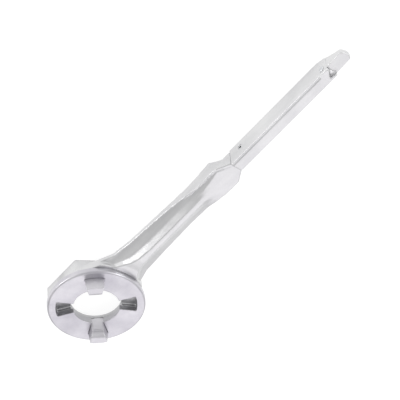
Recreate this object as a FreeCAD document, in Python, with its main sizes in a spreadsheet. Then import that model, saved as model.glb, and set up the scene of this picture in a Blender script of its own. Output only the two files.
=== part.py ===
"""Ring-head spanner wrench: hexagonal cast head with a round drive collar and two drive dogs,
a ribbed arm, a shoulder, a straight handle bar and a pry tip.

Frame: the origin is on the axis of the drive bore, in the plane of the head's flat back.
+Z points from the back to the dogs, +X runs along the handle to the pry tip.
"""
import FreeCAD, Part
import math
import os

import Sketcher

V = FreeCAD.Vector
doc = FreeCAD.newDocument("RingHeadWrench")

# ---------------------------------------------------------------- driving dimensions (mm)
SIZES = {
    # head
    "hex_corner": 39.4,        # bore axis to a corner of the hexagonal back
    "hex_thick": 14.0,         # rim of the hexagonal back to collar seat
    "recess_radius": 30.4,     # round recess that hollows the back out
    "recess_depth": 8.4,
    "web_bore_radius": 20.8,   # opening in the web between recess and collar
    "web_relief": 0.4,         # the opening is this much wider above the pocket floors
    "collar_radius": 40.0,
    "collar_thick": 5.0,
    "collar_round": 1.8,       # rounded outer front edge of the collar
    "bore_radius": 19.0,
    "window_inner": 15.0,      # the fan-shaped windows run out into the bore
    "window_outer": 33.0,
    "window_half_angle": 14.5,
    "window_phase": 38.5,      # first window, from the handle direction
    "pocket_floor": 11.6,      # height of the pocket floors above the back
    # drive dogs
    "dog_inner": 25.6,
    "dog_outer": 32.9,
    "dog_half": 8.1,
    "dog_top": 29.5,
    "dog_waist_half": 6.45,
    "dog_nose_inner": 21.3,    # the nose fills its window as far as the web's opening
    "dog_nose_half": 5.35,
    "dog_nose_top": 24.0,
    "dog_scoop_start": 21.6,
    "dog_scoop_end": 26.2,
    "dog_draft": 4.4,
    # arm, its flare at the hexagon and the ledge round the collar
    "plate_low": 7.0,
    "plate_high": 10.2,
    "flare_inside": 12.0,
    "flare_start": 21.8,       # where the flare leaves the side of the hexagon
    "flare_reach": 30.5,
    "plate_root": 47.8,        # where the flare runs into the plate's edge
    "plate_half_root": 15.4,
    "plate_left_root": 17.0,
    "flare_end": 70.0,
    "flare_half_end": 14.2,
    "ledge_reach": 42.6,
    "ledge_right_reach": 40.5,
    "ledge_end": 57.0,
    "ledge_half": 5.0,
    "back_rib_start": 36.0,
    "back_rib_end": 160.0,
    "back_rib_half": 3.4,
    "rib_draft": 8.0,
    # shoulder and tongue
    "handle_mid": 11.8,        # mid-plane of shoulder and bar
    "shoulder_low": 5.4,
    "shoulder_start": 152.0,
    "shoulder_end": 184.0,
    "runout_top": 19.4,        # above every part of the arm that the run-out passes through
    "bar_groove_wide": 1.5,
    "bar_groove_deep": 0.6,
    "bar_groove_slope": 45.0,
    "tongue_end": 206.0,
    "tongue_half": 2.5,
    "tongue_thick": 8.0,
    # bar
    "bar_end": 300.0,
    "bar_half": 5.35,
    "bar_thick": 16.2,
    "bar_lip": 1.0,
    "bar_groove_end": 291.0,
    "neck_pin_place": 196.0,
    "neck_pin_height": 10.0,
    "neck_pin_radius": 2.2,
    "neck_pin_hollow": 1.1,
    # pry tip
    "tip_end": 321.0,
    "tip_shank_start": 278.0,
    "tip_shank_thick": 10.0,
    "tip_rivet_place": 294.5,
    "tip_rivet_radius": 1.8,
    "tip_rivet_height": 14.4,
    "rivet_head": 2.7,
    "rivet_crown": 0.9,
    "notch_apex": 294.5,
    "notch_side": -2.6,
    "notch_depth": 2.2,
    "heel_start": 289.0,
    "heel_rise": 3.0,
    "blade_half": 5.2,
    "blade_low": 6.7,
    "blade_high": 17.2,
    "blade_slope": 1.0,
    "blade_edge_low": 13.0,
    # fasteners and fits
    "screw_radius": 2.0,
    "screw_head_radius": 3.6,
    "screw_head_height": 2.0,
    "screw_socket": 1.9,
    "screw_socket_depth": 1.3,
    "collar_screw_reach": 25.8,
    "collar_screw_tip": 17.6,
    "dog_screw_reach": 26.3,
    "dog_screw_tip": 20.0,
    "pin_sunk": 0.5,
    "fit_gap": 0.03,           # gap round pins, screws and tongues
    "seat_gap": 0.02,
    "over_end": 2.0,           # how far an end cut starts outside the piece
    "round_margin": 3.0,       # width of the band that the end's round cut takes away
    "trim_width": 80.0,        # reach of the cuts that go right through
    "trim_depth": 80.0,
}

# Sections across the arm: place along the handle, half width at the underside and at the edge,
# underside, height at the edge, half width and height of the foot of the rib, and of its top.
ARM_SECTIONS = {
    "inside": (30.0, 20.0, 20.0, 7.0, 10.2, 18.6, 11.4, 17.0, 13.2),
    "root": (48.6, 15.4, 15.4, 7.0, 10.2, 9.6, 12.4, 6.5, 15.8),
    "sweep": (54.0, 15.2, 15.2, 7.0, 10.2, 7.8, 13.2, 4.3, 17.1),
    "rise": (61.0, 14.9, 14.9, 7.0, 10.2, 6.8, 14.0, 3.1, 18.4),
    "near": (77.0, 14.2, 14.2, 7.0, 10.2, 6.2, 14.4, 2.0, 19.0),
    "middle": (112.0, 12.5, 12.5, 6.8, 11.6, 6.4, 14.9, 2.0, 19.0),
    "far": (134.0, 11.3, 11.3, 6.4, 14.2, 6.4, 15.8, 2.0, 19.0),
    "merge": (147.0, 11.2, 11.2, 5.7, 17.6, 7.0, 17.5, 2.0, 18.4),
    "swell": (158.0, 11.8, 11.8, 5.4, 18.6, 9.0, 18.5, 2.0, 18.6),
    "back_corner": (166.0, 12.2, 12.1, 5.4, 18.6, 10.0, 18.6, 2.0, 18.6),
    "front_corner": (172.5, 7.0, 12.1, 5.4, 18.6, 10.0, 18.6, 2.0, 18.6),
    "back_neck": (175.0, 5.6, 10.6, 5.4, 18.6, 8.5, 18.6, 1.8, 18.6),
    "neck": (184.0, 5.6, 5.6, 5.4, 18.6, 3.9, 18.6, 1.0, 18.6),
}
SECTION_SIZES = ("place", "half_low", "half", "low", "edge",
                 "foot_half", "foot_high", "rib_half", "rib_high")
# Sections of the left channel's run-out, which narrows to a groove along the shoulder's edge:
# place along the handle, outer side and depth there, inner side and height there.
RUNOUT_SECTIONS = {
    "runout_start": (126.0, 10.6, 13.7, 6.6, 15.4),
    "runout_deepen": (136.0, 10.3, 14.3, 6.4, 16.0),
    "runout_merge": (147.0, 10.1, 15.2, 5.4, 17.6),
    "runout_swell": (158.0, 10.3, 16.5, 6.8, 18.4),
    "runout_corner": (171.0, 10.9, 17.6, 9.2, 18.6),
    "runout_neck": (182.6, 4.3, 17.8, 2.9, 18.6),
}
RUNOUT_SIZES = ("place", "outer", "deep", "inner", "rise")
for table, words in ((ARM_SECTIONS, SECTION_SIZES), (RUNOUT_SECTIONS, RUNOUT_SIZES)):
    for station, values in table.items():
        for word, value in zip(words, values):
            SIZES["%s_%s" % (station, word)] = value

sheet = doc.addObject("Spreadsheet::Sheet", "Sizes")
for row, (alias, value) in enumerate(SIZES.items(), start=1):
    sheet.set("A%d" % row, alias)
    sheet.set("B%d" % row, str(value))
    sheet.setAlias("B%d" % row, alias)
doc.recompute()


# ---------------------------------------------------------------- helpers
def size(alias):
    """The value of one driving dimension, for starting geometry that expressions then hold."""
    return float(sheet.get(alias))


def value_of(text):
    """The number that a formula of sheet aliases gives, such as 'bar_half - bar_lip'."""
    total = 0.0
    sign = 1.0
    for word in text.split():
        if word in ("+", "-"):
            sign = 1.0 if word == "+" else -1.0
            continue
        factors = word.split("*")
        product = sign
        for factor in factors:
            name, _, divisor = factor.partition("/")
            product *= (size(name) if name in SIZES else float(name)) / float(divisor or 1)
        total += product
        sign = 1.0
    return total


def bound(text):
    """The same formula as a FreeCAD expression on the sheet."""
    words = []
    for word in text.split():
        factors = []
        for factor in word.split("*"):
            name, slash, divisor = factor.partition("/")
            factors.append(("Sizes." + name if name in SIZES else name) + slash + divisor)
        words.append(" * ".join(factors))
    return " ".join(words)


def negated(text):
    """The same formula with the opposite sign."""
    return "-1*" + text.replace(" - ", " ~ ").replace(" + ", " - ").replace(" ~ ", " + ")


def new_body(name):
    body = doc.addObject("PartDesign::Body", name)
    body.Label = name
    return body


def plane(body, role):
    return next(f for f in body.Origin.OriginFeatures if f.Role == role)


def new_sketch(body, name, role="XY_Plane", lift=None):
    """A sketch on one of the body's own planes, lifted along that plane's normal."""
    sketch = body.newObject("Sketcher::SketchObject", name)
    sketch.AttachmentSupport = [(plane(body, role), "")]
    sketch.MapMode = "FlatFace"
    if lift:
        sketch.setExpression(".AttachmentOffset.Base.z", bound(lift))
    return sketch


def pin_point(sketch, edge, end, x_text, y_text):
    """Holds one end of an edge at a place worked out from the sheet."""
    for kind, text in (("DistanceX", x_text), ("DistanceY", y_text)):
        index = sketch.addConstraint(Sketcher.Constraint(kind, -1, 1, edge, end, value_of(text)))
        sketch.setExpression("Constraints[%d]" % index, bound(text))


def outline(sketch, points):
    """A closed wire through points (x, y) or (x, y, bulge): a bulge makes the next edge an arc."""
    places = [V(value_of(p[0]), value_of(p[1]), 0) for p in points]
    edges = []
    for index, point in enumerate(points):
        start = places[index]
        end = places[(index + 1) % len(points)]
        if len(point) == 3:
            across = (end - start).cross(V(0, 0, 1)) * 0.5
            middle = (start + end) * 0.5 + across * point[2]
            edges.append(sketch.addGeometry(Part.Arc(start, middle, end), False))
        else:
            edges.append(sketch.addGeometry(Part.LineSegment(start, end), False))
    for index, edge in enumerate(edges):
        following = edges[(index + 1) % len(edges)]
        ends = arc_ends(sketch, edge, places[index])
        next_ends = arc_ends(sketch, following, places[(index + 1) % len(edges)])
        sketch.addConstraint(Sketcher.Constraint("Coincident", edge, ends[1], following, next_ends[0]))
        pin_point(sketch, edge, ends[0], points[index][0], points[index][1])
        if len(points[index]) == 3:
            radius = sketch.Geometry[edge].Radius
            sketch.addConstraint(Sketcher.Constraint("Radius", edge, radius))
    return sketch


def arc_ends(sketch, edge, first):
    """Which end numbers of an edge come first and last along the outline."""
    start = sketch.getPoint(edge, 1)
    return (1, 2) if (start - first).Length < 1e-6 else (2, 1)


def circle(sketch, x_text, y_text, radius_text):
    edge = sketch.addGeometry(Part.Circle(V(value_of(x_text), value_of(y_text), 0), V(0, 0, 1),
                                          value_of(radius_text)), False)
    pin_point(sketch, edge, 3, x_text, y_text)
    index = sketch.addConstraint(Sketcher.Constraint("Radius", edge, value_of(radius_text)))
    sketch.setExpression("Constraints[%d]" % index, bound(radius_text))
    return sketch


def pad(body, sketch, name, length, midplane=False, reverse=False, draft=None):
    feature = body.newObject("PartDesign::Pad", name)
    feature.Profile = sketch
    feature.setExpression("Length", bound(length))
    feature.Midplane = midplane
    feature.Reversed = reverse
    if draft:
        feature.setExpression("TaperAngle", "-1 * " + bound(draft))
    return feature


def pocket(body, sketch, name, length=None, reverse=False, midplane=False):
    feature = body.newObject("PartDesign::Pocket", name)
    feature.Profile = sketch
    if length:
        feature.setExpression("Length", bound(length))
    else:
        feature.Type = "ThroughAll"
    feature.Midplane = midplane
    feature.Reversed = reverse
    return feature


def checked_cut(body, feature):
    """Recomputes and makes sure that a cut really took material away."""
    before = feature.BaseFeature.Shape.Volume
    doc.recompute()
    if feature.Shape.Volume > before - 0.5:
        raise RuntimeError("%s.%s cuts nothing" % (body.Name, feature.Name))


def turned(degrees, radius=0.0, height=0.0):
    """A placement turned about the bore axis, for pieces that sit round the head."""
    rotation = FreeCAD.Rotation(V(0, 0, 1), degrees)
    return FreeCAD.Placement(rotation.multVec(V(radius, 0, height)), rotation)


def turned_point(radius_text, degrees):
    """A place at one radius and angle round the bore axis, as two formulas."""
    cosine = "%.9f" % math.cos(math.radians(degrees))
    sine = "%.9f" % math.sin(math.radians(degrees))
    return (radius_text + "*" + cosine, radius_text + "*" + sine)


def fan(sketch, inner_text, outer_text, phase):
    """One fan-shaped window: two radial sides and two arcs about the bore axis."""
    half = size("window_half_angle")
    corners = []
    for radius_text, angle in ((inner_text, phase - half), (outer_text, phase - half),
                               (outer_text, phase + half), (inner_text, phase + half)):
        corners.append(turned_point(radius_text, angle))
    bulge = math.tan(math.radians(half / 2))
    corners[1] += (bulge,)
    corners[3] += (-bulge,)
    return outline(sketch, corners)


QUARTER_TURNS = [size("window_phase") + 90.0 * k for k in range(4)]
DOG_TURNS = (QUARTER_TURNS[0], QUARTER_TURNS[2])
COLLAR_SCREW_TURNS = [turn + 45.0 for turn in QUARTER_TURNS]
FLARE_LEFT = 0.02            # how hollow the flare's outline is on each side
FLARE_RIGHT = 0.22
LEDGE_FAR_ANGLE = 32.0       # from the handle direction, round the collar
LEDGE_NEAR_ANGLE = 14.0
LEDGE_SWEEP = 0.16
NOSE_BULGE = 0.06            # how round the bore side of a dog is
SCOOP_BULGE = 0.4            # how hollow the step between its nose and its top is
BLADE_BULGE = 0.08           # how hollow the underside of the tip is
TIP_BULGE = 0.42             # how round its end is, seen from the front


# ---------------------------------------------------------------- head and arm, one casting
def arm_section(body, station):
    """One section across the arm: flat underside, edge, channel and rib, both sides alike."""
    def along(word):
        return "%s_%s" % (station, word)

    sketch = new_sketch(body, "Section_" + station, "YZ_Plane", lift=along("place"))
    left = [(along("half_low"), along("low")), (along("half"), along("edge")),
            (along("foot_half"), along("foot_high")), (along("rib_half"), along("rib_high"))]
    right = [("-1*" + y, z) for y, z in reversed(left)]
    return outline(sketch, left + right)


def make_arm(body):
    """The arm as one loft through its sections."""
    sections = [arm_section(body, station) for station in ARM_SECTIONS]
    arm = body.newObject("PartDesign::AdditiveLoft", "Arm")
    arm.Profile = sections[0]
    arm.Sections = sections[1:]
    arm.Ruled = True
    doc.recompute()


def make_flare(body):
    """The plate's flare at the hexagon, and the ledge that follows the collar."""
    flare = new_sketch(body, "FlarePlan", lift="plate_low")
    outline(flare, [("flare_inside", "-1*flare_reach"),
                    ("flare_start", "-1*flare_reach", -FLARE_RIGHT),
                    ("plate_root", "-1*plate_half_root"),
                    ("flare_end", "-1*flare_half_end"),
                    ("flare_end", "flare_half_end"),
                    ("plate_root", "plate_left_root", -FLARE_LEFT),
                    ("flare_start", "flare_reach"),
                    ("flare_inside", "flare_reach")])
    pad(body, flare, "Flare", "plate_high - plate_low")

    ledge = new_sketch(body, "LedgePlan", lift="plate_low")
    round_collar = math.tan(math.radians((LEDGE_FAR_ANGLE - LEDGE_NEAR_ANGLE) / 4))
    right_far = turned_point("ledge_right_reach", -LEDGE_FAR_ANGLE)
    right_near = turned_point("ledge_right_reach", -LEDGE_NEAR_ANGLE)
    left_near = turned_point("ledge_reach", LEDGE_NEAR_ANGLE)
    left_far = turned_point("ledge_reach", LEDGE_FAR_ANGLE)
    outline(ledge, [("flare_inside", "-1*flare_inside"),
                    right_far + (round_collar,),
                    right_near + (-LEDGE_SWEEP,),
                    ("ledge_end", "-1*ledge_half"),
                    ("ledge_end", "ledge_half", -LEDGE_SWEEP),
                    left_near + (round_collar,),
                    left_far,
                    ("flare_start", "flare_reach"),
                    ("flare_inside", "flare_reach")])
    pad(body, ledge, "Ledge", "hex_thick - plate_low")


def make_casting():
    body = new_body("cast_head_and_arm")
    make_arm(body)

    hexagon = new_sketch(body, "HexPlan")
    outline(hexagon, [turned_point("hex_corner", 60 * k) for k in range(6)])
    pad(body, hexagon, "HexBack", "hex_thick")

    make_flare(body)

    rib = new_sketch(body, "BackRibPlan", lift="handle_mid")
    outline(rib, [("back_rib_start", "-1*back_rib_half"), ("back_rib_end", "-1*back_rib_half"),
                  ("back_rib_end", "back_rib_half"), ("back_rib_start", "back_rib_half")])
    pad(body, rib, "BackRib", "handle_mid - shoulder_low", reverse=True, draft="rib_draft")

    tongue = new_sketch(body, "TonguePlan", lift="handle_mid")
    outline(tongue, [("shoulder_start", "-1*tongue_half"), ("tongue_end", "-1*tongue_half"),
                     ("tongue_end", "tongue_half"), ("shoulder_start", "tongue_half")])
    pad(body, tongue, "Tongue", "tongue_thick", midplane=True)
    doc.recompute()

    recess = circle(new_sketch(body, "RecessPlan"), "0", "0", "recess_radius")
    checked_cut(body, pocket(body, recess, "BackRecess", "recess_depth", reverse=True))
    bore = circle(new_sketch(body, "BorePlan"), "0", "0", "web_bore_radius")
    checked_cut(body, pocket(body, bore, "WebBore", "trim_depth", reverse=True, midplane=True))

    relief = circle(new_sketch(body, "ReliefPlan", lift="pocket_floor"),
                    "0", "0", "web_bore_radius + web_relief")
    checked_cut(body, pocket(body, relief, "WebRelief", "trim_depth", reverse=True))

    seat = circle(new_sketch(body, "SeatPlan", lift="hex_thick"), "0", "0", "collar_radius + seat_gap")
    checked_cut(body, pocket(body, seat, "CollarSeat", "trim_depth", reverse=True))

    window = new_sketch(body, "PocketPlan", lift="pocket_floor")
    fan(window, "window_inner", "window_outer", QUARTER_TURNS[0])
    cut = pocket(body, window, "DogPocket", "trim_depth", reverse=True)
    checked_cut(body, cut)
    add_quarter_turns(body, cut)

    for name, lift, radius, depth in (
            ("ScrewShanks", "hex_thick - trim_depth/2", "screw_radius", "trim_depth"),
            ("ScrewSeats", "recess_depth", "screw_head_radius", "screw_head_height")):
        holes = new_sketch(body, name + "Plan", lift=lift)
        for reach, turns in (("collar_screw_reach", COLLAR_SCREW_TURNS),
                             ("dog_screw_reach", DOG_TURNS)):
            for turn in turns:
                circle(holes, *turned_point(reach, turn), radius + " + fit_gap")
        checked_cut(body, pocket(body, holes, name, depth, reverse=True))

    run_out_channel(body)

    pin_hole = circle(new_sketch(body, "NeckPinPlan", "XZ_Plane"),
                      "neck_pin_place", "neck_pin_height", "neck_pin_radius + fit_gap")
    checked_cut(body, pocket(body, pin_hole, "NeckPinHole", "trim_width", midplane=True))
    return body


def run_out_channel(body):
    """The left channel's end: it narrows to a groove inside the shoulder's edge."""
    sections = []
    for station in RUNOUT_SECTIONS:
        sketch = new_sketch(body, "Section_" + station, "YZ_Plane", lift=station + "_place")
        sections.append(outline(sketch, [
            (station + "_outer", station + "_deep"), (station + "_outer", "runout_top"),
            (station + "_inner", "runout_top"), (station + "_inner", station + "_rise")]))
    cut = body.newObject("PartDesign::SubtractiveLoft", "RunOut")
    cut.Profile = sections[0]
    cut.Sections = sections[1:]
    cut.Ruled = True
    checked_cut(body, cut)


def add_quarter_turns(body, feature):
    """Repeats a cut four times about the bore axis."""
    pattern = body.newObject("PartDesign::PolarPattern", feature.Name + "Pattern")
    pattern.Originals = [feature]
    pattern.Axis = (plane(body, "Z_Axis"), [""])
    pattern.Angle = 360
    pattern.Occurrences = 4
    body.Tip = pattern
    before = feature.Shape.Volume
    doc.recompute()
    if pattern.Shape.Volume > before - 0.5:
        raise RuntimeError("the pattern of %s cuts nothing" % feature.Name)
    return pattern


# ---------------------------------------------------------------- drive collar and dogs
def make_collar():
    body = new_body("drive_collar")
    disc = circle(new_sketch(body, "CollarPlan", lift="hex_thick"), "0", "0", "collar_radius")
    pad(body, disc, "CollarDisc", "collar_thick")
    doc.recompute()
    bore = circle(new_sketch(body, "CollarBorePlan"), "0", "0", "bore_radius")
    checked_cut(body, pocket(body, bore, "CollarBore", "trim_depth", reverse=True, midplane=True))
    window = new_sketch(body, "WindowPlan")
    fan(window, "window_inner", "window_outer", QUARTER_TURNS[0])
    cut = pocket(body, window, "Window", "trim_depth", reverse=True)
    checked_cut(body, cut)
    pattern = add_quarter_turns(body, cut)

    holes = new_sketch(body, "CollarScrewPlan")
    for turn in COLLAR_SCREW_TURNS:
        circle(holes, *turned_point("collar_screw_reach", turn), "screw_radius + fit_gap")
    checked_cut(body, pocket(body, holes, "CollarScrewHoles", "collar_screw_tip", reverse=True))

    front = size("hex_thick") + size("collar_thick")
    drilled = body.Tip
    rim = [
        "Edge%d" % (index + 1)
        for index, edge in enumerate(drilled.Shape.Edges)
        if abs(edge.BoundBox.ZMin - front) < 1e-4
        and abs(edge.BoundBox.ZMax - front) < 1e-4
        and edge.BoundBox.XLength > 1.9 * size("collar_radius")
    ]
    rounding = body.newObject("PartDesign::Fillet", "CollarRound")
    rounding.Base = (drilled, rim)
    rounding.setExpression("Radius", bound("collar_round"))
    return body


def make_dog(name, turn):
    """One drive dog, drawn with the radial direction along X, then turned into its pocket."""
    body = new_body(name)
    half_turn = math.degrees(math.asin(size("dog_half") / size("dog_outer")))
    cosine = "%.9f" % math.cos(math.radians(half_turn))
    plan = [
        ("dog_nose_inner", "-1*dog_nose_half"),
        ("dog_inner", "-1*dog_waist_half"),
        ("dog_outer*" + cosine, "-1*dog_half", math.tan(math.radians(half_turn / 2))),
        ("dog_outer*" + cosine, "dog_half"),
        ("dog_inner", "dog_waist_half"),
        ("dog_nose_inner", "dog_nose_half", NOSE_BULGE),
    ]
    root = outline(new_sketch(body, "DogRootPlan", lift="pocket_floor"), plan)
    pad(body, root, "DogRoot", "hex_thick + collar_thick - pocket_floor")
    crown = outline(new_sketch(body, "DogCrownPlan", lift="hex_thick + collar_thick"), plan)
    pad(body, crown, "DogCrown", "dog_top - hex_thick - collar_thick", draft="dog_draft")
    doc.recompute()

    scoop = new_sketch(body, "NoseScoop", "XZ_Plane")
    outline(scoop, [("window_inner", "dog_nose_top"),
                    ("dog_scoop_start", "dog_nose_top", -SCOOP_BULGE),
                    ("dog_scoop_end", "dog_top"),
                    ("dog_scoop_end", "dog_top + fit_gap"),
                    ("window_inner", "dog_top + fit_gap")])
    checked_cut(body, pocket(body, scoop, "NoseScoopCut", "trim_width", midplane=True))

    hole = circle(new_sketch(body, "DogScrewPlan"), "dog_screw_reach", "0", "screw_radius + fit_gap")
    checked_cut(body, pocket(body, hole, "DogScrewHole", "dog_screw_tip", reverse=True))
    body.Placement = turned(turn)
    return body


def make_screws(name, reach, turns, tip_alias):
    """A group of socket-head screws, driven in from the recess in the back of the head."""
    screws = []
    for number, turn in enumerate(turns, start=1):
        label = "%s_%d_" % (name, number)
        head = doc.addObject("Part::Cylinder", label + "head")
        head.setExpression("Radius", bound("screw_head_radius"))
        head.setExpression("Height", bound("screw_head_height"))
        shank = doc.addObject("Part::Cylinder", label + "shank")
        shank.setExpression("Radius", bound("screw_radius"))
        shank.setExpression("Height", bound("%s - recess_depth - fit_gap" % tip_alias))
        solid = doc.addObject("Part::MultiFuse", label + "blank")
        solid.Shapes = [head, shank]
        socket = doc.addObject("Part::Prism", label + "socket")
        socket.Polygon = 6
        socket.setExpression("Circumradius", bound("screw_socket"))
        socket.setExpression("Height", bound("screw_socket_depth"))
        screw = doc.addObject("Part::Cut", label + "cut")
        screw.Base = solid
        screw.Tool = socket
        screw.Placement = turned(turn, size(reach), size("recess_depth"))
        screws.append(screw)
    group = doc.addObject("Part::Compound", name)
    group.Links = screws
    group.Label = name
    return group


# ---------------------------------------------------------------- handle bar and its pins
def make_bar():
    body = new_body("handle_bar")
    plan = new_sketch(body, "BarPlan", lift="handle_mid")
    outline(plan, [("shoulder_end", "-1*bar_half"), ("bar_end", "-1*bar_half"),
                   ("bar_end", "bar_half"), ("shoulder_end", "bar_half")])
    pad(body, plan, "BarBlock", "bar_thick", midplane=True)
    doc.recompute()

    plan = outline(new_sketch(body, "GroovePlan", lift="handle_mid + bar_thick/2 + 3*fit_gap"), [
        ("shoulder_end - over_end", "bar_half - bar_lip - bar_groove_wide"),
        ("bar_groove_end", "bar_half - bar_lip - bar_groove_wide"),
        ("bar_groove_end", "bar_half - bar_lip"),
        ("shoulder_end - over_end", "bar_half - bar_lip")])
    groove = pocket(body, plan, "EdgeGroove", "bar_groove_deep")
    groove.setExpression("TaperAngle", bound("-1*bar_groove_slope"))
    checked_cut(body, groove)

    for name, start, end, half, tall in (
            ("Neck", "shoulder_end - over_end", "tongue_end + fit_gap", "tongue_half", "tongue_thick"),
            ("Tip", "tip_shank_start - fit_gap", "bar_end + over_end", "tongue_half", "tip_shank_thick")):
        mortise = new_sketch(body, name + "MortisePlan", lift="handle_mid")
        outline(mortise, [(start, "-1*%s - fit_gap" % half), (end, "-1*%s - fit_gap" % half),
                          (end, half + " + fit_gap"), (start, half + " + fit_gap")])
        checked_cut(body, pocket(body, mortise, name + "Mortise", tall + " + 2*fit_gap", midplane=True))

    notch = new_sketch(body, "NotchPlan", lift="handle_mid + bar_thick/2")
    outline(notch, [("notch_apex", "notch_side"), ("bar_end + over_end", "-1*bar_half + bar_lip"),
                    ("bar_end + over_end", "bar_half - bar_lip/2")])
    checked_cut(body, pocket(body, notch, "Notch", "notch_depth"))

    heel = new_sketch(body, "HeelSide", "XZ_Plane")
    base = "handle_mid - bar_thick/2"
    outline(heel, [("heel_start", base), ("bar_end + over_end", base),
                   ("bar_end + over_end", base + " + heel_rise")])
    checked_cut(body, pocket(body, heel, "Heel", "trim_width", midplane=True))

    for name, place, height, radius in (
            ("NeckPin", "neck_pin_place", "neck_pin_height", "neck_pin_radius"),
            ("TipRivet", "tip_rivet_place", "tip_rivet_height", "tip_rivet_radius")):
        hole = circle(new_sketch(body, name + "HolePlan", "XZ_Plane"), place, height,
                      radius + " + fit_gap")
        checked_cut(body, pocket(body, hole, name + "Hole", "trim_width", midplane=True))
    return body


def make_tip():
    """The pry tip: a shank inside the bar and a blade that tapers to a blunt edge."""
    body = new_body("pry_tip")
    shank = new_sketch(body, "ShankPlan", lift="handle_mid")
    outline(shank, [("tip_shank_start", "-1*tongue_half"), ("bar_end + over_end", "-1*tongue_half"),
                    ("bar_end + over_end", "tongue_half"), ("tip_shank_start", "tongue_half")])
    pad(body, shank, "Shank", "tip_shank_thick", midplane=True)

    side = new_sketch(body, "BladeSide", "XZ_Plane")
    outline(side, [("bar_end", "blade_low", -BLADE_BULGE), ("tip_end", "blade_edge_low"),
                   ("tip_end", "blade_high - blade_slope"), ("bar_end", "blade_high")])
    pad(body, side, "Blade", "2*blade_half", midplane=True)
    doc.recompute()

    round_end = new_sketch(body, "RoundEndPlan")
    outline(round_end, [("tip_end - blade_half", "-1*blade_half", TIP_BULGE),
                        ("tip_end - blade_half", "blade_half"),
                        ("tip_end - blade_half", "blade_half + round_margin"),
                        ("tip_end + round_margin", "blade_half + round_margin"),
                        ("tip_end + round_margin", "-1*blade_half - round_margin"),
                        ("tip_end - blade_half", "-1*blade_half - round_margin")])
    checked_cut(body, pocket(body, round_end, "RoundEnd", "trim_depth", reverse=True, midplane=True))

    hole = circle(new_sketch(body, "RivetHolePlan", "XZ_Plane"), "tip_rivet_place",
                  "tip_rivet_height", "tip_rivet_radius + fit_gap")
    checked_cut(body, pocket(body, hole, "RivetHole", "trim_width", midplane=True))
    return body


def cross_turn():
    """Turns a primitive's axis from Z to across the handle."""
    return FreeCAD.Rotation(V(1, 0, 0), 90)


def make_neck_pin():
    """A tubular pin, sunk a little below both sides of the bar."""
    tube = []
    for part_name, radius in (("wall", "neck_pin_radius"), ("hollow", "neck_pin_hollow")):
        cylinder = doc.addObject("Part::Cylinder", "neck_pin_" + part_name)
        cylinder.setExpression("Radius", bound(radius))
        cylinder.setExpression("Height", bound("2*bar_half - 2*pin_sunk"))
        tube.append(cylinder)
    pin = doc.addObject("Part::Cut", "neck_pin")
    pin.Base, pin.Tool = tube
    pin.Label = "neck_pin"
    half = size("bar_half") - size("pin_sunk")
    pin.Placement = FreeCAD.Placement(V(size("neck_pin_place"), half, size("neck_pin_height")),
                                      cross_turn())
    return pin


def make_tip_rivet():
    """A solid rivet with a low domed head on each side of the bar."""
    body = new_body("tip_rivet")
    sketch = new_sketch(body, "RivetSection", "XY_Plane")
    dome = [("rivet_head*0.5", "bar_half + rivet_crown"),
            ("rivet_head*0.85", "bar_half + rivet_crown*0.6"),
            ("rivet_head", "bar_half"),
            ("tip_rivet_radius", "bar_half")]
    below = [(x, y.replace("bar_half", "-1*bar_half").replace("+", "-")) for x, y in dome]
    outline(sketch, [("0", "-1*bar_half - rivet_crown")] + below + list(reversed(dome))
            + [("0", "bar_half + rivet_crown")])
    turn = body.newObject("PartDesign::Revolution", "RivetTurn")
    turn.Profile = sketch
    turn.ReferenceAxis = (plane(body, "Y_Axis"), [""])
    turn.Angle = 360
    body.Placement = FreeCAD.Placement(V(size("tip_rivet_place"), 0, size("tip_rivet_height")),
                                       FreeCAD.Rotation())
    return body


# ---------------------------------------------------------------- build, check, export
make_parts = [
    make_casting(),
    make_collar(),
    make_dog("drive_dog_near_arm", DOG_TURNS[0]),
    make_dog("drive_dog_far_side", DOG_TURNS[1]),
    make_screws("collar_screws", "collar_screw_reach", COLLAR_SCREW_TURNS, "collar_screw_tip"),
    make_screws("dog_screws", "dog_screw_reach", DOG_TURNS, "dog_screw_tip"),
    make_bar(),
    make_neck_pin(),
    make_tip(),
    make_tip_rivet(),
]
doc.recompute()

for item in doc.Objects:
    if "Invalid" in item.State or "Error" in item.State:
        raise RuntimeError("%s failed: %s" % (item.Label, item.State))

os.makedirs("parts", exist_ok=True)
for item in make_parts:
    shape = item.Shape
    if shape.isNull() or not shape.isValid():
        raise RuntimeError("%s has no valid shape" % item.Label)
    shape.exportStep(os.path.join("parts", item.Label + ".step"))
    box = shape.BoundBox
    print("%-22s solids %d volume %10.1f mm3  x %.1f..%.1f  y %.1f..%.1f  z %.1f..%.1f" % (
        item.Label, len(shape.Solids), shape.Volume,
        box.XMin, box.XMax, box.YMin, box.YMax, box.ZMin, box.ZMax))
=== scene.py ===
"""Ring-head spanner wrench: looks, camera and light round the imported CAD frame.

The frame's +Z runs from the hollow back of the head to the dogs, and +X along the handle.
All lengths are in metres unless a comment says otherwise.
"""
import math

import bpy
from mathutils import Matrix, Vector


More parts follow.
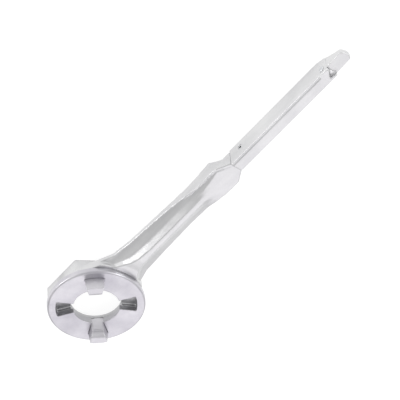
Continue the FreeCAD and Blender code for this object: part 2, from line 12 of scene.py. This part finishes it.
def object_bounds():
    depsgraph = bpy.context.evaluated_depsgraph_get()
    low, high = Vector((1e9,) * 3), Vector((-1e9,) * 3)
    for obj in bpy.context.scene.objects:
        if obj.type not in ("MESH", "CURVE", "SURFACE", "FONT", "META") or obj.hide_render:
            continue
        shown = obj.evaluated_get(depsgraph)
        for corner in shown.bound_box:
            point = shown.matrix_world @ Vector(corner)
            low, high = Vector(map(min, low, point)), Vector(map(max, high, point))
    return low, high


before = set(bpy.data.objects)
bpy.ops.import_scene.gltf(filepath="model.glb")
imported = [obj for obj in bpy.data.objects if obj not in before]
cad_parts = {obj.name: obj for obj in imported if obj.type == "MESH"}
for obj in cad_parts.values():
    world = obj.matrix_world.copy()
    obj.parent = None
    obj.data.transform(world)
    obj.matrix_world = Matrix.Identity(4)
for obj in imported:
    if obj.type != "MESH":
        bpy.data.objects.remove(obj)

CAD_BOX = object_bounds()

# ---------------------------------------------------------------- camera
VIEW_AZIMUTH = math.radians(42.5)     # of the camera, from the handle direction
VIEW_ELEVATION = math.radians(46.1)   # above the plane of the head
VIEW_ROLL = math.radians(173.2)       # the handle points up and to the right
VIEW_DISTANCE = 2.0
VIEW_WIDTH = 0.325733                 # across the picture, at the head's distance
AIM_RIGHT = 0.085342                  # middle of the view from the origin, to the right
AIM_UP = 0.073290                     # and upwards, as the picture is seen
SENSOR_WIDTH = 36.0                   # millimetres
CLIP_END = 20.0


def make_camera():
    """The camera, at the photograph's viewing angle."""
    toward = Vector((math.cos(VIEW_ELEVATION) * math.cos(VIEW_AZIMUTH),
                     math.cos(VIEW_ELEVATION) * math.sin(VIEW_AZIMUTH),
                     math.sin(VIEW_ELEVATION)))
    level = Vector((0, 0, 1)).cross(toward).normalized()
    upright = toward.cross(level)
    right = math.cos(VIEW_ROLL) * level + math.sin(VIEW_ROLL) * upright
    up = math.cos(VIEW_ROLL) * upright - math.sin(VIEW_ROLL) * level
    place = toward * VIEW_DISTANCE + right * AIM_RIGHT + up * AIM_UP
    data = bpy.data.cameras.new("view_camera")
    data.sensor_width = SENSOR_WIDTH
    data.lens = SENSOR_WIDTH * VIEW_DISTANCE / VIEW_WIDTH
    data.clip_end = CLIP_END
    camera = bpy.data.objects.new("view_camera", data)
    turn = Matrix((right, up, toward)).transposed()
    camera.matrix_world = Matrix.Translation(place) @ turn.to_4x4()
    bpy.context.scene.collection.objects.link(camera)
    bpy.context.scene.camera = camera


# ---------------------------------------------------------------- material nodes
class Nodes:
    """A material's node tree, with short calls for the nodes used here."""

    def __init__(self, name):
        self.material = bpy.data.materials.new(name)
        self.material.use_nodes = True
        self.tree = self.material.node_tree
        self.shader = self.tree.nodes["Principled BSDF"]

    def plug(self, socket, value):
        """Links another node's output to the socket, or sets a constant on it."""
        if isinstance(value, bpy.types.NodeSocket):
            self.tree.links.new(value, socket)
        else:
            socket.default_value = value

    def add(self, kind, inputs, **settings):
        node = self.tree.nodes.new(kind)
        for key, value in settings.items():
            setattr(node, key, value)
        for key, value in inputs.items():
            self.plug(node.inputs[key], value)
        return node

    def noise(self, vector, scale, detail=3.0, roughness=0.55):
        inputs = {"Vector": vector, "Scale": scale, "Detail": detail, "Roughness": roughness}
        return self.add("ShaderNodeTexNoise", inputs).outputs["Fac"]

    def span(self, value, low, high, from_low=0.3, from_high=0.7):
        """Maps the value from one range to another, and holds it at the ends."""
        inputs = {"Value": value, "From Min": from_low, "From Max": from_high,
                  "To Min": low, "To Max": high}
        return self.add("ShaderNodeMapRange", inputs).outputs["Result"]

    def maths(self, operation, first, second):
        return self.add("ShaderNodeMath", {0: first, 1: second}, operation=operation).outputs[0]

    def average(self, first, second):
        return self.maths("ADD", self.maths("MULTIPLY", first, 0.5),
                          self.maths("MULTIPLY", second, 0.5))

    def mix(self, factor, first, second):
        # Sockets 6 and 7 and output 2 are the mix node's colours.
        node = self.add("ShaderNodeMix", {}, data_type="RGBA")
        for socket, value in ((0, factor), (6, first), (7, second)):
            self.plug(node.inputs[socket], value)
        return node.outputs[2]

    def coordinates(self, kind):
        return self.add("ShaderNodeTexCoord", {}).outputs[kind]

    def stretched(self, vector, scale):
        return self.add("ShaderNodeMapping", {"Vector": vector, "Scale": scale}).outputs["Vector"]

    def within_core(self, place):
        """1 inside the head's core cylinder about the bore axis, 0 outside it."""
        flat = self.add("ShaderNodeVectorMath", {0: place, 1: (1.0, 1.0, 0.0)},
                        operation="MULTIPLY")
        length = self.add("ShaderNodeVectorMath", {0: flat.outputs["Vector"]},
                          operation="LENGTH")
        return self.span(length.outputs["Value"], 1.0, 0.0,
                         CORE_RADIUS - CORE_BLEND, CORE_RADIUS + CORE_BLEND)

    def enclosed(self, reach, most, closed, free, samples=6, inside=False):
        """The most where the surface is enclosed within reach, down to 0 where it is free.
        Measured from inside the piece, this finds its outer edges."""
        found = self.add("ShaderNodeAmbientOcclusion", {"Distance": reach},
                         samples=samples, inside=inside)
        return self.span(found.outputs["AO"], most, 0.0, closed, free)

    def edge_highlighted(self, base, reach, gain):
        """Painted highlight: outer edges lighter, towards white, as where light catches them."""
        painted_edge_highlight = self.enclosed(reach, gain, 0.35, 0.8, inside=True)
        return self.mix(painted_edge_highlight, base, WHITE)

    def corner_shaded(self, base, gain):
        """Painted shade: darker inside corners."""
        return self.mix(self.enclosed(CORNER_REACH, gain, 0.25, 0.85), base, CORNER_SHADE_TONE)

    def bump(self, height, distance, strength, under=None):
        inputs = {"Height": height, "Distance": distance, "Strength": strength}
        if under is not None:
            inputs["Normal"] = under
        return self.add("ShaderNodeBump", inputs).outputs["Normal"]

    def finish(self, **sockets):
        """Puts values on the shader's own sockets; a name's underscore stands for a space."""
        for key, value in sockets.items():
            self.plug(self.shader.inputs[key.replace("_", " ")], value)
        return self.material


# ---------------------------------------------------------------- metals
WHITE = (1.0, 1.0, 1.0, 1)
# painted shade in inside corners
CORNER_SHADE_TONE = (0.2, 0.2, 0.22, 1)
# painted shade in the head's hollows
HOLLOW_SHADE_TONE = (0.16, 0.16, 0.17, 1)
CORE_SHADE_TONE = (0.37, 0.37, 0.38, 1)     # painted shade on the head's inside
CORE_RADIUS = 0.0342                  # bore, windows and back recess lie inside it
CORE_BLEND = 0.0004
CORNER_REACH = 0.004
HOLLOW_REACH = 0.014
HOLLOW_GAIN = 0.25
CAST_EDGE_REACH = 0.0011
TURNED_EDGE_REACH = 0.0009


def metal(name, light, dark, rough, grain, grain_depth, edge_highlight_gain, corner_shade,
          stretch=(1.0, 1.0, 1.0), core=0.0):
    """A satin metal: cloudy tone, fine grain, faint streaks along the handle, painted highlights
    on outer edges and painted shade in inside corners. With a core, painted shade darkens the
    hollows and the head's inside."""
    made = Nodes(name)
    place = made.coordinates("Object")
    clouds = made.noise(place, scale=38.0, detail=4.0)
    fine = made.noise(place, scale=grain, roughness=0.6)
    streak = made.noise(made.stretched(place, stretch), scale=130.0, roughness=0.6)

    tone = made.span(made.average(clouds, streak), 0.0, 1.0, 0.35, 0.65)
    base = made.mix(tone, (*dark, 1), (*light, 1))
    # painted highlight on outer edges
    base = made.edge_highlighted(base, CAST_EDGE_REACH, edge_highlight_gain)
    # painted shade in inside corners
    base = made.corner_shaded(base, corner_shade)
    if core:
        # painted shade in the hollows
        hollow_shade = made.enclosed(HOLLOW_REACH, HOLLOW_GAIN, 0.2, 0.6, samples=8)
        base = made.mix(hollow_shade, base, HOLLOW_SHADE_TONE)
        # painted shade on the head's inside, within the core cylinder
        base = made.mix(made.maths("MULTIPLY", made.within_core(place), core), base, CORE_SHADE_TONE)

    broad = made.bump(clouds, distance=0.0006, strength=0.5)
    return made.finish(Base_Color=base, Metallic=1.0,
                       Roughness=made.span(made.average(fine, streak), *rough),
                       Normal=made.bump(fine, grain_depth, strength=0.6, under=broad))


def turned_metal(name):
    """Machined aluminium: fine rings about the bore axis over a cloudy satin tone, with painted
    highlights on outer edges, painted shade in inside corners, and painted shade on the steep
    faces where the bore and the windows cut through."""
    made = Nodes(name)
    place = made.coordinates("Object")
    rings = made.add("ShaderNodeTexWave",
                     {"Vector": made.stretched(place, (1.0, 1.0, 0.0)), "Scale": 210.0,
                      "Distortion": 0.5, "Detail": 2.0, "Detail Scale": 1.5},
                     wave_type="RINGS", rings_direction="Z").outputs["Fac"]
    clouds = made.noise(place, scale=45.0, detail=4.0)
    fine = made.noise(place, scale=1400.0, detail=2.0)

    base = made.mix(made.span(clouds, 0.0, 1.0), (0.48, 0.47, 0.51, 1), (0.65, 0.64, 0.67, 1))
    # painted highlight on outer edges
    base = made.edge_highlighted(base, TURNED_EDGE_REACH, gain=0.8)
    # painted shade in inside corners
    base = made.corner_shaded(base, gain=0.1)
    # painted shade on steep faces inside the core cylinder
    facing = made.add("ShaderNodeSeparateXYZ", {0: made.coordinates("Normal")}).outputs["Z"]
    steep = made.span(made.maths("ABSOLUTE", facing, 0.0), 0.6, 0.0, 0.2, 0.7)
    painted_wall_shade = made.maths("MULTIPLY", made.within_core(place), steep)
    base = made.mix(painted_wall_shade, base, CORE_SHADE_TONE)

    low = made.bump(rings, distance=0.00003, strength=0.35)
    return made.finish(Base_Color=base, Metallic=1.0, Roughness=made.span(fine, 0.30, 0.44),
                       Normal=made.bump(fine, distance=0.00004, strength=0.4, under=low))


# ---------------------------------------------------------------- looks of the CAD nodes
SMOOTH_FACTOR = 0.5


def soften(node, voxel, turns):
    """Rounds every edge and inside corner of a cast or machined node a little."""
    remesh = node.modifiers.new("even_mesh", "REMESH")
    remesh.mode = "VOXEL"
    remesh.voxel_size = voxel
    remesh.use_smooth_shade = True
    smooth = node.modifiers.new("soft_edges", "SMOOTH")
    smooth.factor = SMOOTH_FACTOR
    smooth.iterations = turns


def make_looks():
    # Each metal gets a painted highlight on its outer edges and painted shade in its inside
    # corners.
    cast = metal("cast_aluminium_looks", light=(0.72, 0.72, 0.725), dark=(0.61, 0.61, 0.62),
                 rough=(0.30, 0.46), grain=1100.0, grain_depth=0.00006, edge_highlight_gain=0.75,
                 corner_shade=0.25, stretch=(0.12, 1.0, 1.0), core=0.55)
    dog = metal("dog_looks", light=(0.68, 0.67, 0.70), dark=(0.58, 0.57, 0.60),
                rough=(0.34, 0.48), grain=1300.0, grain_depth=0.00005, edge_highlight_gain=0.75,
                corner_shade=0.1)
    collar = turned_metal("collar_looks")
    steel = metal("steel_looks", light=(0.66, 0.67, 0.69), dark=(0.50, 0.51, 0.53),
                  rough=(0.2, 0.34), grain=1800.0, grain_depth=0.00002, edge_highlight_gain=0.5,
                  corner_shade=0.3)
    # each node's material, voxel size and rounds of smoothing
    looks = {
        "cast_head_and_arm": (cast, 0.00055, 5),
        "drive_collar": (collar, 0.00035, 3),
        "drive_dog_near_arm": (dog, 0.00026, 4),
        "drive_dog_far_side": (dog, 0.00026, 4),
        "collar_screws": (steel, 0.0002, 1),
        "dog_screws": (steel, 0.0002, 1),
        "handle_bar": (cast, 0.0004, 3),
        "neck_pin": (steel, 0.00016, 1),
        "pry_tip": (cast, 0.0003, 4),
        "tip_rivet": (steel, 0.00016, 1),
    }
    for name, (material, voxel, turns) in looks.items():
        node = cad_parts[name]
        node.data.materials.clear()
        node.data.materials.append(material)
        soften(node, voxel, turns)


# ---------------------------------------------------------------- floor, surroundings and light
FLOOR_TONE = (0.20, 0.20, 0.20, 1)
FLOOR_GLOW = 0.90                     # a light table, so it stays white under the tool
FLOOR_HALF = 6.0
FLOOR_GAP = 0.0002                    # below the head's back
WORLD_LIGHT = 0.74
WORLD_DARK = 0.68
DARK_PATCH = (-0.42, 0.42, 0.80)      # direction of the darker patch's middle
DARK_PATCH_RIM = 0.78                 # cosines of the angles from it where the patch begins
DARK_PATCH_FULL = 0.97                # and where it is darkest
LIGHT_DISTANCE = 2.6                  # from the middle of the tool
# Each light's direction, diameter, power in watts and colour. The first one is where faces
# square to the bore axis mirror it into the camera.
LIGHTS = {
    "face_light": ((-0.51, -0.55, 0.66), 2.2, 8, (0.98, 0.95, 1.0)),
    "side_light": ((-0.35, 0.95, 0.30), 1.0, 12, (1.0, 1.0, 1.0)),
    "end_light": ((0.9, -0.25, 0.75), 1.2, 14, (1.0, 1.0, 1.0)),
}


def make_floor():
    made = Nodes("floor_white")
    white = made.finish(Base_Color=FLOOR_TONE, Roughness=0.95, Emission_Color=WHITE,
                        Emission_Strength=FLOOR_GLOW)
    corners = [(-FLOOR_HALF, -FLOOR_HALF, 0), (FLOOR_HALF, -FLOOR_HALF, 0),
               (FLOOR_HALF, FLOOR_HALF, 0), (-FLOOR_HALF, FLOOR_HALF, 0)]
    mesh = bpy.data.meshes.new("floor")
    mesh.from_pydata(corners, [], [(0, 1, 2, 3)])
    mesh.materials.append(white)
    floor = bpy.data.objects.new("floor", mesh)
    floor.location.z = CAD_BOX[0].z - FLOOR_GAP
    bpy.context.scene.collection.objects.link(floor)


def make_world():
    """White surroundings with one darker patch high on the left, as a flag in a photo studio."""
    world = bpy.data.worlds.new("studio")
    world.use_nodes = True
    tree = world.node_tree
    place = tree.nodes.new("ShaderNodeTexCoord")
    aim = tree.nodes.new("ShaderNodeVectorMath")
    aim.operation = "DOT_PRODUCT"
    aim.inputs[1].default_value = Vector(DARK_PATCH).normalized()
    tree.links.new(place.outputs["Generated"], aim.inputs[0])
    level = tree.nodes.new("ShaderNodeMapRange")
    level.interpolation_type = "SMOOTHSTEP"
    for key, value in (("From Min", DARK_PATCH_RIM), ("From Max", DARK_PATCH_FULL),
                       ("To Min", WORLD_LIGHT), ("To Max", WORLD_DARK)):
        level.inputs[key].default_value = value
    tree.links.new(aim.outputs["Value"], level.inputs["Value"])
    background = tree.nodes["Background"]
    background.inputs["Color"].default_value = WHITE
    tree.links.new(level.outputs["Result"], background.inputs["Strength"])
    bpy.context.scene.world = world


def make_lights():
    """Soft round lights, each facing the middle of the tool."""
    middle = (CAD_BOX[0] + CAD_BOX[1]) / 2
    for name, (direction, diameter, power, colour) in LIGHTS.items():
        place = middle + Vector(direction).normalized() * LIGHT_DISTANCE
        data = bpy.data.lights.new(name, "AREA")
        data.shape = "DISK"
        data.size = diameter
        data.energy = power
        data.color = colour
        light = bpy.data.objects.new(name, data)
        light.location = place
        light.rotation_euler = (middle - place).to_track_quat("-Z", "Y").to_euler()
        bpy.context.scene.collection.objects.link(light)


make_camera()
make_looks()
make_floor()
make_world()
make_lights()
bpy.context.scene.view_settings.view_transform = "Standard"
